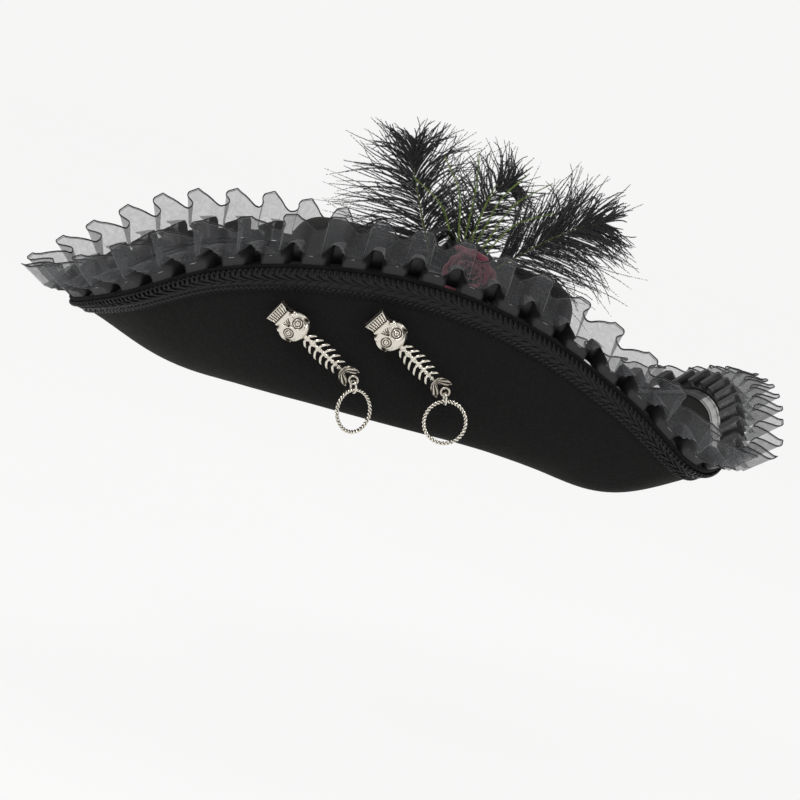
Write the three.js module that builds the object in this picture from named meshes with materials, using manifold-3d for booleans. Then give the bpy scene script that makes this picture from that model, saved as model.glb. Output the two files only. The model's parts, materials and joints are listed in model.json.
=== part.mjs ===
// A feathered pirate hat: a wool-felt tricorn with a braided and ruffled brim, a cockade of ostrich
// plumes and peacock herls on the crown, and two cast charms on the left side panel.
// Millimetres, +Z up, front of the hat along -Y, wearer's left along +X.
// The origin is the centre of the head opening, in the plane of the sweatband's lower rim.

import * as THREE from 'three';
import Module from 'manifold-3d';
import { mergeVertices } from 'three/addons/utils/BufferGeometryUtils.js';
import { ParametricGeometry } from 'three/addons/geometries/ParametricGeometry.js';

// ---- driving dimensions -------------------------------------------------------------------------

const HEAD_LENGTH = 198; // inside the sweatband, front to back
const HEAD_WIDTH = 164; // inside the sweatband, side to side
const OVAL = HEAD_WIDTH / HEAD_LENGTH; // every round part of the crown is squeezed by this in X

const GAP = 0.3; // between touching pieces
const TRIM_GAP = 0.5; // between the felt and the trims sewn to it, which bend with it
const SEAM_GAP = 1.6; // between the crown and the middle of the brim's sloping inner edge
const FELT = 2.6; // felt thickness
const SWEATBAND = { thick: 1, height: 28 };
const CROWN = { height: 106, shoulder: 20, taper: 5, straight: 31 };
const CROWN_BAND = { thick: 0.8, low: 7, high: 29 };

const BRAID = { width: 15, thick: 2.2, below: 0.5 };
const TAPE = { width: 7, thick: 0.7, below: 3.5 };
const WIRE = { radius: 0.8, below: 1.6 };
const SATIN = { start: 0.6, end: 13, foot: 2.1, tip: 3.5 }; // foot and tip are half thicknesses
const ORGANZA = { start: 13.4, end: 35, foot: 3.42, tip: 4.5 };

// The brim's edge from the front point round the wearer's left, the back and the right:
// [x, y, z, rise], where rise is the felt's slope at its edge in degrees above level.
const EDGE = [
  [0, -228, 13, 14],
  [50, -202, 29, 34],
  [92, -152, 63, 60],
  [115, -88, 83, 76],
  [124, -18, 89, 80],
  [129, 50, 78, 76],
  [137, 112, 53, 60],
  [143, 161, 25, 36],
  [113, 191, 26, 30],
  [60, 207, 45, 37],
  [0, 220, 55, 40],
  [-62, 224, 56, 38],
  [-116, 212, 44, 30],
  [-147, 170, 36, 36],
  [-138, 112, 52, 60],
  [-129, 50, 72, 76],
  [-123, -18, 76, 80],
  [-114, -88, 75, 76],
  [-91, -152, 61, 60],
  [-50, -202, 30, 34],
];
const RUFFLE_FLARE = { base: 22, share: 0.6 }; // ruffle slope = base + share * rise, in degrees
const ROOT_Z = 1.6; // middle of the felt where the brim meets the crown
const HANDLE = { root: 0.5, edge: 0.42 }; // lengths of the brim profile's Bezier handles
const DIP = { base: 6, rise: 16, share: 0.11 }; // the brim's first control point drops by these
const STATIONS = 72; // round the brim
const BRIM_STEPS = 5; // from the crown to the trims' foot
const ROUND_STEPS = 48; // round the crown
const SHOULDER_STEPS = 4; // over the crown's rounded shoulder

const CHARM = { length: 66, standoff: 1.8 };
const EYELET = { ring: 2.7, wire: 0.8, around: 12 };
const JUMP_RING = { ring: 4, wire: 0.65, around: 16 };
const TWIST_RING = { ring: 13.4, wire: 1.1, around: 32 };
const WIRE_SIDES = 6; // flats round a ring's wire
const RING_DROP = 5.9; // from the eyelet's middle to the twist ring's top wire
const HANG_LEAN = 16; // the rings hang plumb when the hat is worn with its front up by this much

const DEG = Math.PI / 180;
const UP = new THREE.Vector3(0, 0, 1);
const hat = new THREE.Group();

// ---- materials ----------------------------------------------------------------------------------

const material = (color, roughness, metalness = 0) =>
  new THREE.MeshStandardMaterial({ color, roughness, metalness });

const MATERIALS = {
  felt: () => material(0x151516, 0.95),
  grosgrain: () => material(0x1a1a1c, 0.8),
  gimp: () => material(0x0d0d0e, 0.6),
  tape: () => material(0xb9b9b6, 0.85),
  wire: () => material(0x101011, 0.7),
  satin: () => material(0x242426, 0.35),
  organza: () => material(0x3b3c3f, 0.5),
  ostrich: () => material(0x0e0e0f, 0.7),
  herl: () => material(0x46521d, 0.5),
  rose: () => material(0x8a2f45, 0.75),
  silver: () => material(0xb9b3a6, 0.3, 1),
};

// ---- closed meshes ------------------------------------------------------------------------------

// Shared vertices are merged, empty triangles go, and the faces point out.
function closed(geometry) {
  for (const name of Object.keys(geometry.attributes)) {
    if (name !== 'position') geometry.deleteAttribute(name);
  }
  const merged = mergeVertices(geometry, 1e-3);
  const at = merged.attributes.position;
  const index = merged.index.array;
  const corner = (i) => new THREE.Vector3().fromBufferAttribute(at, i);
  const faces = [];
  let volume = 0;
  for (let i = 0; i < index.length; i += 3) {
    const [a, b, c] = [index[i], index[i + 1], index[i + 2]];
    if (a === b || b === c || c === a) continue;
    faces.push(a, b, c);
    volume += corner(a).dot(corner(b).cross(corner(c)));
  }
  if (volume < 0) {
    for (let i = 0; i < faces.length; i += 3) [faces[i], faces[i + 1]] = [faces[i + 1], faces[i]];
  }
  merged.setIndex(faces);
  merged.computeVertexNormals();
  return merged;
}

function add(name, geometry, look, parent = hat) {
  const mesh = new THREE.Mesh(closed(geometry), MATERIALS[look]());
  mesh.name = name;
  parent.add(mesh);
  return mesh;
}

// ---- the brim's surface -------------------------------------------------------------------------

const edgeCurve = new THREE.CatmullRomCurve3(
  EDGE.map(([x, y, z]) => new THREE.Vector3(x, y, z)), true, 'catmullrom', 0.5);
const riseCurve = new THREE.CatmullRomCurve3(
  EDGE.map(([, , , rise]) => new THREE.Vector3(rise, 0, 0)), true, 'catmullrom', 0.5);

const rootLength = HEAD_LENGTH / 2 + SWEATBAND.thick + GAP + FELT + SEAM_GAP;

// Everything that is known at one place round the brim, t going once round from 0 to 1.
function station(t) {
  const edge = edgeCurve.getPoint(t % 1);
  const rise = riseCurve.getPoint(t % 1).x * DEG;
  const flare = RUFFLE_FLARE.base * DEG + RUFFLE_FLARE.share * rise;
  const spoke = new THREE.Vector3(edge.x / OVAL, edge.y, 0).normalize().multiplyScalar(rootLength);
  const root = new THREE.Vector3(spoke.x * OVAL, spoke.y, ROOT_Z);
  const reach = edge.clone().sub(root);
  const square = edgeCurve.getTangent(t % 1).cross(UP).setZ(0).normalize();
  const out = reach.clone().setZ(0).normalize().add(square).normalize();
  const run = Math.hypot(reach.x, reach.y);
  const inner = root.clone().addScaledVector(reach.clone().setZ(0).normalize(), HANDLE.root * run);
  inner.z -= DIP.base + DIP.rise * Math.sin(rise) + DIP.share * run;
  const pull = HANDLE.edge * reach.length();
  const outer = edge.clone()
    .addScaledVector(out, -pull * Math.cos(rise)).addScaledVector(UP, -pull * Math.sin(rise));
  return { edge, rise, flare, out, profile: new THREE.CubicBezierCurve3(root, inner, outer, edge) };
}

const stations = Array.from({ length: STATIONS }, (_, i) => station(i / STATIONS));

// The outer-face normal for a slope, in the upright plane that holds `out`.
const normalFor = (out, angle) =>
  out.clone().multiplyScalar(Math.sin(angle)).addScaledVector(UP, -Math.cos(angle));

// A point of the felt at share s from the crown to the edge, n outwards from its middle.
function feltPoint(place, s, n) {
  const slope = place.profile.getTangent(s);
  const angle = Math.atan2(slope.z, slope.dot(place.out));
  return place.profile.getPoint(s).addScaledVector(normalFor(place.out, angle), n);
}

// The share s that lies `below` millimetres under the edge.
function shareBelow(place, below) {
  const speed = 3 * place.profile.v3.distanceTo(place.profile.v2);
  return 1 - below / speed;
}

// A point past the edge, `past` millimetres along the ruffle and n outwards.
function rufflePoint(place, past, n) {
  return place.edge.clone()
    .addScaledVector(place.out, past * Math.cos(place.flare))
    .addScaledVector(UP, past * Math.sin(place.flare))
    .addScaledVector(normalFor(place.out, place.flare), n);
}

const onFelt = (place, below, n) => feltPoint(place, shareBelow(place, below), n);

// A closed ring round the brim whose section is a loop of [along, n] pairs.
function ring(section, point) {
  const at = (u, v, target) => {
    const place = stations[Math.round(u * STATIONS) % STATIONS];
    const [along, n] = section[Math.round(v * section.length) % section.length];
    target.copy(point(place, along, n));
  };
  return new ParametricGeometry(at, STATIONS, section.length);
}

// ---- felt body ----------------------------------------------------------------------------------

// A ring or shell turned round the head oval from [radius, z] pairs.
function turned(profile) {
  const points = profile.map(([radius, z]) => new THREE.Vector2(radius, z));
  return new THREE.LatheGeometry(points, ROUND_STEPS).rotateX(Math.PI / 2).scale(OVAL, 1, 1);
}

const band = (inside, thick, low, high) => turned([
  [inside, low], [inside + thick, low], [inside + thick, high], [inside, high], [inside, low],
]);

// One wall of the crown from its foot to the middle of its top.
function crownWall(foot, top, shoulder) {
  const wallTop = foot - CROWN.taper;
  const wall = [[foot, GAP], [foot, CROWN.straight]];
  for (let i = 0; i <= SHOULDER_STEPS; i += 1) {
    const turn = (i / SHOULDER_STEPS) * 90 * DEG;
    const radius = wallTop - shoulder * (1 - Math.cos(turn));
    wall.push([radius, top - shoulder * (1 - Math.sin(turn))]);
  }
  wall.push([0, top]);
  return wall;
}

function feltCrown() {
  const inside = HEAD_LENGTH / 2 + SWEATBAND.thick + GAP;
  const innerWall = crownWall(inside, CROWN.height - FELT, CROWN.shoulder - FELT);
  const outerWall = crownWall(inside + FELT, CROWN.height, CROWN.shoulder);
  return turned([...outerWall.reverse(), ...innerWall]);
}

// The felt's rows step evenly from the crown to the braid's foot, then follow the braid's own rows,
// so that the two lie flat on each other.
function feltBrim() {
  const foot = BRAID.below + BRAID.width;
  const rows = [foot, foot - BRAID.width / 2, BRAID.below, 0]
    .map((below) => (place) => shareBelow(place, below));
  for (let i = BRIM_STEPS - 1; i >= 0; i -= 1) {
    rows.unshift((place) => (i / BRIM_STEPS) * shareBelow(place, foot));
  }
  const section = [
    ...rows.map((row) => [row, FELT / 2]),
    ...rows.toReversed().map((row) => [row, -FELT / 2]),
  ];
  return ring(section, (place, row, n) => feltPoint(place, row(place), n));
}

const bandInside = HEAD_LENGTH / 2 + SWEATBAND.thick + GAP + FELT + GAP;
add('felt_crown', feltCrown(), 'felt');
add('felt_brim', feltBrim(), 'felt');
add('sweatband', band(HEAD_LENGTH / 2, SWEATBAND.thick, 0, SWEATBAND.height), 'grosgrain');
add('crown_band', band(bandInside, CROWN_BAND.thick, CROWN_BAND.low, CROWN_BAND.high), 'satin');

// ---- edge trims ---------------------------------------------------------------------------------

function flatTrim(trim, side) {
  const near = side * (FELT / 2 + TRIM_GAP);
  const far = near + side * trim.thick;
  const middle = trim.below + trim.width / 2;
  const low = trim.below + trim.width;
  return ring([
    [trim.below, near], [middle, near], [low, near], [low, far], [middle, far], [trim.below, far],
  ], onFelt);
}

function brimWire() {
  const middle = -(FELT / 2 + TRIM_GAP + WIRE.radius);
  const section = [];
  for (let i = 0; i < 6; i += 1) {
    const turn = i * 60 * DEG;
    section.push([WIRE.below + WIRE.radius * Math.cos(turn), middle + WIRE.radius * Math.sin(turn)]);
  }
  return ring(section, onFelt);
}

const ruffle = ({ start, end, foot, tip }) =>
  ring([[start, -foot], [end, -tip], [end, tip], [start, foot]], rufflePoint);

add('gimp_braid', flatTrim(BRAID, 1), 'gimp');
add('header_tape', flatTrim(TAPE, -1), 'tape');
add('brim_wire', brimWire(), 'wire');
add('satin_ruffle', ruffle(SATIN), 'satin');
add('organza_ruffle', ruffle(ORGANZA), 'organza');

// ---- cockade on the crown's left side -----------------------------------------------------------

const COCKADE = { at: [81, -1, 95], lean: 22 };
const PAD = { radius: 19, low: 0.6, thick: 1.6 };
const ROSETTE = { radius: 25, thick: 4 };
const ROSE = { radius: 21, height: 15 };
const cockade = new THREE.Group();
cockade.position.set(...COCKADE.at);
cockade.rotation.y = (90 - COCKADE.lean) * DEG;
hat.add(cockade);

const disc = (radius, low, thick, sides) =>
  new THREE.CylinderGeometry(radius, radius, thick, sides).rotateX(90 * DEG)
    .translate(0, 0, low + thick / 2);

function roseHead(low) {
  const profile = [[0, 0], [0.55, 0], [0.95, 0.35], [1, 0.6], [0.8, 0.9], [0.4, 1], [0, 1]];
  const points = profile.map(([r, h]) => new THREE.Vector2(r * ROSE.radius, h * ROSE.height));
  return new THREE.LatheGeometry(points, 14).rotateX(90 * DEG).translate(0, 0, low);
}

const rosetteLow = PAD.low + PAD.thick + GAP;
add('cockade_pad', disc(PAD.radius, PAD.low, PAD.thick, 20), 'felt', cockade);
add('ribbon_rosette', disc(ROSETTE.radius, rosetteLow, ROSETTE.thick, 24), 'satin', cockade);
add('fabric_rose', roseHead(rosetteLow + ROSETTE.thick + GAP), 'rose', cockade);

// ---- plumes and herls ---------------------------------------------------------------------------

const PLUME = { thick: 11, bluntness: 0.8, steps: 12, sides: 8 };
const HERL = { radius: 0.9, bend: [0.35, 0.6], hook: 2, steps: 8, sides: 5 };

const spline = (points) => new THREE.CatmullRomCurve3(points.map((p) => new THREE.Vector3(...p)));

// A leaf-shaped solid along its quill: `half` wide each way across the view from the left side.
function plume(quill, half) {
  const path = spline(quill);
  const at = (u, v, target) => {
    const along = path.getTangent(v);
    const across = new THREE.Vector3(1, 0, 0).cross(along).normalize();
    const face = along.clone().cross(across);
    const swell = Math.sin(Math.PI * v) ** PLUME.bluntness;
    const turn = u * 2 * Math.PI;
    target.copy(path.getPoint(v))
      .addScaledVector(across, half * swell * Math.cos(turn))
      .addScaledVector(face, (PLUME.thick / 2) * swell * Math.sin(turn));
  };
  return new ParametricGeometry(at, PLUME.sides, PLUME.steps);
}

const PLUMES = {
  plume_left: { quill: [[58, -14, 112], [53, -27, 132], [47, -42, 152], [43, -50, 178]], half: 36 },
  plume_middle: { quill: [[46, 2, 112], [28, 6, 130], [20, 13, 152], [16, 20, 174]], half: 21 },
  plume_right: { quill: [[56, 18, 114], [50, 44, 134], [40, 80, 149], [28, 120, 160]], half: 25 },
};
for (const [name, { quill, half }] of Object.entries(PLUMES)) {
  add(name, plume(quill, half), 'ostrich');
}

// Each herl leaves the cockade's top at `foot` and curves to `tip`, both [y, z].
const HERLS = [
  { foot: [-10, 116], tip: [-46, 150], x: 68 },
  { foot: [-6, 117], tip: [-30, 168], x: 70 },
  { foot: [-2, 118], tip: [-8, 176], x: 68 },
  { foot: [2, 118], tip: [8, 160], x: 71 },
  { foot: [6, 117.5], tip: [28, 172], x: 68 },
  { foot: [10, 116.5], tip: [44, 170], x: 71 },
  { foot: [14, 115], tip: [52, 152], x: 68 },
];

function herl({ foot, tip, x }) {
  const bend = HERL.bend.map((share, i) => foot[i] + share * (tip[i] - foot[i]));
  const path = spline([[x, ...foot], [x, ...bend], [x - HERL.hook, ...tip]]);
  const section = new THREE.Shape();
  section.absarc(0, 0, HERL.radius, 0, 2 * Math.PI);
  return new THREE.ExtrudeGeometry(
    section, { steps: HERL.steps, curveSegments: HERL.sides, extrudePath: path });
}

HERLS.forEach((shape, i) => add(`herl_${i + 1}`, herl(shape), 'herl'));

// ---- charms on the left side panel --------------------------------------------------------------

const wasm = await Module();
wasm.setup();

function toManifold(geometry) {
  const solid = closed(geometry);
  return new wasm.Manifold(new wasm.Mesh({
    numProp: 3,
    vertProperties: new Float32Array(solid.attributes.position.array),
    triVerts: new Uint32Array(solid.index.array),
  }));
}

function joined(geometries) {
  const [first, ...rest] = geometries.map(toManifold);
  const mesh = rest.reduce((sum, next) => sum.add(next), first).getMesh();
  const geometry = new THREE.BufferGeometry();
  geometry.setAttribute('position', new THREE.BufferAttribute(mesh.vertProperties, 3));
  geometry.setIndex(new THREE.BufferAttribute(mesh.triVerts, 1));
  return geometry;
}

const rod = (from, to, thickFrom, thickTo, sides) => {
  const [a, b] = [new THREE.Vector3(...from), new THREE.Vector3(...to)];
  const turn = new THREE.Quaternion().setFromUnitVectors(
    new THREE.Vector3(0, 1, 0), b.clone().sub(a).normalize());
  const middle = a.clone().add(b).multiplyScalar(0.5);
  return new THREE.CylinderGeometry(thickTo, thickFrom, a.distanceTo(b), sides)
    .applyQuaternion(turn).translate(middle.x, middle.y, middle.z);
};

const plate = (outline, thick) => new THREE.ExtrudeGeometry(
  new THREE.Shape(outline.map(([x, y]) => new THREE.Vector2(x, y))),
  { depth: thick, bevelEnabled: false }).translate(0, 0, -thick / 2);

const hoop = ({ ring: radius, wire, around }) =>
  new THREE.TorusGeometry(radius, wire, WIRE_SIDES, around);

const SPINE = { start: 2, end: 44, radius: 1.3 };
const RIB = { first: 14, pitch: 4.7, pairs: 6, short: 4.9, swell: 1.6, sweep: 4, thick: 0.75, tip: 0.45 };
const SKULL = { middle: 50.5, length: 9, width: 10.2, depth: 5.4 };
const JAW = { start: 55, end: 66, wide: 7, narrow: 5.6, thick: 6.4 };
const TAIL = { root: 9.5, fork: 6, tip: 1, spread: 6.6, thick: 1.8 };

// The charm lies along +X from its eyelet to its teeth, with its face towards +Z.
function fishbone() {
  const pieces = [
    rod([SPINE.start, 0, 0], [SPINE.end, 0, 0], SPINE.radius, SPINE.radius, 7),
    new THREE.SphereGeometry(1, 14, 10).scale(SKULL.length, SKULL.width, SKULL.depth)
      .translate(SKULL.middle, 0, 0),
    plate([[JAW.start, -JAW.wide], [JAW.end, -JAW.narrow], [JAW.end, JAW.narrow],
      [JAW.start, JAW.wide]], JAW.thick),
    hoop(EYELET),
  ];
  for (const side of [-1, 1]) {
    for (let i = 0; i < RIB.pairs; i += 1) {
      const x = RIB.first + i * RIB.pitch;
      const reach = side * (RIB.short + RIB.swell * Math.sin((i / (RIB.pairs - 1)) * Math.PI));
      pieces.push(rod([x, 0, 0], [x - RIB.sweep, reach, 0], RIB.thick, RIB.tip, 5));
    }
    pieces.push(plate(
      side > 0
        ? [[TAIL.root, 0], [TAIL.tip, TAIL.spread], [TAIL.fork - 1, 0]]
        : [[TAIL.root, 0], [TAIL.fork - 1, 0], [TAIL.tip, -TAIL.spread]],
      TAIL.thick));
  }
  return joined(pieces);
}

// Plumb in the worn hat: straight down leans back by HANG_LEAN in the hat's own frame.
const PLUMB = new THREE.Vector3(0, Math.sin(HANG_LEAN * DEG), -Math.cos(HANG_LEAN * DEG));

const CHARMS = [
  { name: 'charm_1', place: 0.148, below: 42, tilt: 37, turn: 15 },
  { name: 'charm_2', place: 0.192, below: 38, tilt: 31, turn: 0 },
];

// The outer face's own axes at one place: back along the edge, up the panel, and out of the felt.
function panelAxes(t, below) {
  const face = (dt, db) => onFelt(station(t + dt), below + db, FELT / 2);
  const back = face(0.01, 0).sub(face(-0.01, 0)).normalize();
  const out = back.clone().cross(face(0, -2).sub(face(0, 2))).normalize();
  return { at: face(0, 0), back, up: out.clone().cross(back), out };
}

for (const { name, place, below, tilt, turn } of CHARMS) {
  const { at, back, up, out } = panelAxes(place, below);
  const forward = back.multiplyScalar(-Math.cos(tilt * DEG)).addScaledVector(up, Math.sin(tilt * DEG));

  const charm = new THREE.Group();
  charm.quaternion.setFromRotationMatrix(
    new THREE.Matrix4().makeBasis(forward, out.clone().cross(forward), out));
  charm.position.copy(at).addScaledVector(out, CHARM.standoff + SKULL.depth)
    .addScaledVector(forward, -CHARM.length / 2);
  hat.add(charm);
  add(`${name}_fishbone`, fishbone(), 'silver', charm);

  // Each hanging ring is built with its wire's top at the group's origin, hanging along -Y.
  const hanging = (drop, spin, size) => {
    const group = new THREE.Group();
    const across = new THREE.Vector3(1, 0, 0).cross(PLUMB).normalize();
    group.quaternion.setFromRotationMatrix(new THREE.Matrix4().makeBasis(
      across, PLUMB.clone().negate(), across.clone().cross(PLUMB.clone().negate())));
    group.position.copy(charm.position).addScaledVector(PLUMB, drop);
    hat.add(group);
    return { group, link: hoop(size).translate(0, -size.ring, 0).rotateY(spin * DEG) };
  };
  const jump = hanging(0, 90 + turn, JUMP_RING);
  add(`${name}_jump_ring`, jump.link, 'silver', jump.group);
  const twist = hanging(RING_DROP, 2 * turn, TWIST_RING);
  add(`${name}_twist_ring`, twist.link, 'silver', twist.group);
}

export default hat;
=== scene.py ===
# A feathered pirate hat, dressed around its CAD frame: felt, braid, pleated ruffle, cockade,
# ostrich plumes, peacock herls and two cast charms with hanging rings.
# Metres. +Z up, front of the hat along -Y, wearer's left along +X.
import json
from math import cos, pi, radians, sin
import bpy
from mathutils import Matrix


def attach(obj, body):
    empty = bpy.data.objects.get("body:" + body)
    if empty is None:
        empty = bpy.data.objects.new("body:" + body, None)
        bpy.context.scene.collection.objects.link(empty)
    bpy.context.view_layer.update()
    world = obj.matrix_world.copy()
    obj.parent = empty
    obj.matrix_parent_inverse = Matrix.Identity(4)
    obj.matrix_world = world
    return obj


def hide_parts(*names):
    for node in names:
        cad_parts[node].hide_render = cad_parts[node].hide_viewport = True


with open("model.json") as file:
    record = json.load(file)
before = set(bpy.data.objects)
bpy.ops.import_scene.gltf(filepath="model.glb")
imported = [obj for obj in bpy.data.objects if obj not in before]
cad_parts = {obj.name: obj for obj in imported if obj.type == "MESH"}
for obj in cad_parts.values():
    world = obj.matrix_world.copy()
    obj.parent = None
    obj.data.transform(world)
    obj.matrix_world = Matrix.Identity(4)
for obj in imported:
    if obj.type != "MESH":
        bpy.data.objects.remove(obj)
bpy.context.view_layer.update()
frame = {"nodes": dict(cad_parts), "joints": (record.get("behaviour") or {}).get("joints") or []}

from types import SimpleNamespace

import bpy
import numpy as np
from mathutils import Matrix, Vector

# ---- sizes, the same as the CAD's ---------------------------------------------------------------

MM = 0.001
UP = np.array([0.0, 0.0, 1.0])

HEAD_LENGTH = 198 * MM
HEAD_WIDTH = 164 * MM
OVAL = HEAD_WIDTH / HEAD_LENGTH  # every round part of the crown is squeezed by this in X
FELT = 2.6 * MM
BAND_THICK = 1 * MM  # sweatband
SWEATBAND_HEIGHT = 28 * MM
GAP = 0.3 * MM
CROWN_HEIGHT = 106 * MM
CROWN_SHOULDER = 20 * MM
CROWN_TAPER = 5 * MM
WALL_UPRIGHT = 31 * MM  # the wall tapers above this height, past the crown band
CROWN_BAND = (6 * MM, 30 * MM)  # low and high edge
ROOT_LENGTH = HEAD_LENGTH / 2 + BAND_THICK + GAP + FELT + 1.6 * MM
ROOT_Z = 1.6 * MM
BRAID_BELOW = 0.5 * MM
RUFFLE_WIDTH = 35 * MM
SATIN_WIDTH = 13 * MM

# The brim's edge from the front point round the wearer's left, the back and the right:
# x, y, z in millimetres and the felt's slope there in degrees above level.
EDGE = np.array([
    [0, -228, 13, 14], [50, -202, 29, 34], [92, -152, 63, 60], [115, -88, 83, 76],
    [124, -18, 89, 80], [129, 50, 78, 76], [137, 112, 53, 60], [143, 161, 25, 36],
    [113, 191, 26, 30], [60, 207, 45, 37], [0, 220, 55, 40], [-62, 224, 56, 38],
    [-116, 212, 44, 30], [-147, 170, 36, 36], [-138, 112, 52, 60], [-129, 50, 72, 76],
    [-123, -18, 76, 80], [-114, -88, 75, 76], [-91, -152, 61, 60], [-50, -202, 30, 34],
]) * [MM, MM, MM, pi / 180]
RUFFLE_FLARE = (radians(22), 0.6)  # the ruffle's slope: a fixed part, and a share of the felt's
HANDLES = (0.5, 0.42)  # lengths of the brim profile's Bezier handles, as shares of its run and reach
DIP = (6 * MM, 16 * MM, 0.11)  # how far the felt sags first: fixed, with its rise, with its run

# ---- the brim's surface, for arrays of places ---------------------------------------------------


def unit(v):
    return v / np.maximum(np.linalg.norm(v, axis=-1, keepdims=True), 1e-12)


def catmull_rom(a, b, c, d, f):
    """Value and slope at a share f of the way from b to c, with a and d the points beyond them."""
    quad = 2 * a - 5 * b + 4 * c - d
    cube = 3 * (b - c) + d - a
    value = b + 0.5 * f * ((c - a) + f * (quad + f * cube))
    slope = 0.5 * ((c - a) + f * (2 * quad + 3 * f * cube))
    return value, slope


def closed_spline(table, t):
    """Values and slopes round a closed table, t going once round from 0 to 1."""
    x = (t % 1) * len(table)
    i = np.floor(x).astype(int)
    corners = (table[(i + k) % len(table)] for k in (-1, 0, 1, 2))
    return catmull_rom(*corners, (x - i)[:, None])


def station(t):
    """What is known at each place round the brim."""
    value, slope = closed_spline(EDGE, t)
    edge, rise = value[:, :3], value[:, 3]
    spoke = unit(np.c_[edge[:, 0] / OVAL, edge[:, 1]]) * ROOT_LENGTH
    root = np.c_[spoke[:, 0] * OVAL, spoke[:, 1], np.full(len(t), ROOT_Z)]
    reach = edge - root
    run = np.linalg.norm(reach[:, :2], axis=1)
    away = np.c_[reach[:, :2] / run[:, None], np.zeros(len(t))]
    square = unit(np.c_[slope[:, 1], -slope[:, 0], np.zeros(len(t))])
    out = unit(away + square)
    inner = root + away * (HANDLES[0] * run)[:, None]
    inner[:, 2] -= DIP[0] + DIP[1] * np.sin(rise) + DIP[2] * run
    pull = HANDLES[1] * np.linalg.norm(reach, axis=1)
    outer = edge - pull[:, None] * (out * np.cos(rise)[:, None] + UP * np.sin(rise)[:, None])
    return SimpleNamespace(edge=edge, out=out, pull=pull, root=root, inner=inner, outer=outer,
                           flare=RUFFLE_FLARE[0] + RUFFLE_FLARE[1] * rise)


TURNS = np.linspace(0, 1, 4097)
_steps = np.linalg.norm(np.diff(closed_spline(EDGE, TURNS)[0][:, :3], axis=0), axis=1)
LENGTHS = np.r_[0, np.cumsum(_steps)]
PERIMETER = LENGTHS[-1]


def place(distance):
    """The station at each distance along the edge."""
    return station(np.interp(np.asarray(distance, float).ravel() % PERIMETER, LENGTHS, TURNS))


def normal(out, angle):
    return out * np.sin(angle)[:, None] - UP * np.cos(angle)[:, None]


def felt_point(at, share, lift):
    """The felt's middle surface at a share from the crown to the edge, lifted outwards."""
    s = share[:, None]
    k = 1 - s
    point = k**3 * at.root + 3 * k * k * s * at.inner + 3 * k * s * s * at.outer + s**3 * at.edge
    along = k * k * (at.inner - at.root) + 2 * k * s * (at.outer - at.inner) + s * s * (at.edge - at.outer)
    angle = np.arctan2(along[:, 2], (along * at.out).sum(1))
    return point + lift[:, None] * normal(at.out, angle)


def on_felt(distance, below, lift):
    """Points below the edge; all three are arrays of one shape, and so is the answer."""
    at = place(distance)
    below = np.broadcast_to(below, np.shape(distance)).ravel()
    lift = np.broadcast_to(lift, np.shape(distance)).ravel()
    points = felt_point(at, 1 - below / (3 * at.pull), lift)
    return points.reshape(*np.shape(distance), 3)


def past_edge(distance, past, lift):
    """Points of the ruffle, past the edge."""
    at = place(distance)
    past = np.broadcast_to(past, np.shape(distance)).ravel()[:, None]
    lift = np.broadcast_to(lift, np.shape(distance)).ravel()[:, None]
    slope = np.cos(at.flare)[:, None] * at.out + np.sin(at.flare)[:, None] * UP
    points = at.edge + past * slope + lift * normal(at.out, at.flare)
    return points.reshape(*np.shape(distance), 3)


# ---- meshes -------------------------------------------------------------------------------------


def grid_faces(rows, columns, wrap_rows=False, wrap_columns=False):
    """Quads of a grid of points stored row by row."""
    r = np.arange(rows if wrap_rows else rows - 1)[:, None]
    c = np.arange(columns if wrap_columns else columns - 1)[None, :]
    r1, c1 = (r + 1) % rows, (c + 1) % columns
    quads = np.stack([r * columns + c, r * columns + c1, r1 * columns + c1, r1 * columns + c], -1)
    return quads.reshape(-1, 4)


def capped_grid(rows, columns, flip=1):
    """Faces of a round grid whose first and last rows are closed by flat caps."""
    first = list(range(columns))
    last = list(range((rows - 1) * columns, rows * columns))
    return grid_faces(rows, columns, False, True).tolist() + [first[::-flip], last[::flip]]


def sheet_uv(along, across, sides=2):
    """A ribbon's own metres at each point of a grid, repeated for each of its sides."""
    return np.tile(np.stack([along, across], -1).reshape(-1, 2), (sides, 1))


def tubes(paths, radii, sides=6, closed=False):
    """Round cords along paths of shape (count, steps, 3); open ends close to a point."""
    paths = np.asarray(paths, float)
    count, steps, _ = paths.shape
    if closed:
        tangent = unit(np.roll(paths, -1, 1) - np.roll(paths, 1, 1))
    else:
        tangent = unit(np.gradient(paths, axis=1))
    radii = np.array(np.broadcast_to(radii, (count, steps)), float)
    if not closed:
        radii[:, 0] *= 0.05
        radii[:, -1] *= 0.05
    helper = np.where(np.abs(tangent[:, :1, 2:]) < 0.8, UP, [1.0, 0.0, 0.0])
    side = np.empty_like(paths)
    side[:, 0] = unit(np.cross(tangent[:, 0], helper[:, 0]))
    for i in range(1, steps):
        carried = side[:, i - 1]
        side[:, i] = unit(carried - (carried * tangent[:, i]).sum(1, keepdims=True) * tangent[:, i])
    over = np.cross(tangent, side)
    angle = np.arange(sides) * 2 * pi / sides
    ring = (np.cos(angle)[:, None] * side[:, :, None] + np.sin(angle)[:, None] * over[:, :, None])
    points = paths[:, :, None] + radii[:, :, None, None] * ring
    one = grid_faces(steps, sides, wrap_rows=closed, wrap_columns=True)
    faces = (one[None] + (np.arange(count) * steps * sides)[:, None, None]).reshape(-1, 4)
    return points.reshape(-1, 3), faces


def joined(*parts):
    """One (points, faces) pair from several; faces are arrays, or lists of lists."""
    points, faces, start = [], [], 0
    for p, f in parts:
        points.append(p)
        lists = f if isinstance(f, list) else f.tolist()
        faces += [[i + start for i in face] for face in lists]
        start += len(p)
    return np.concatenate(points), faces


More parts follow.
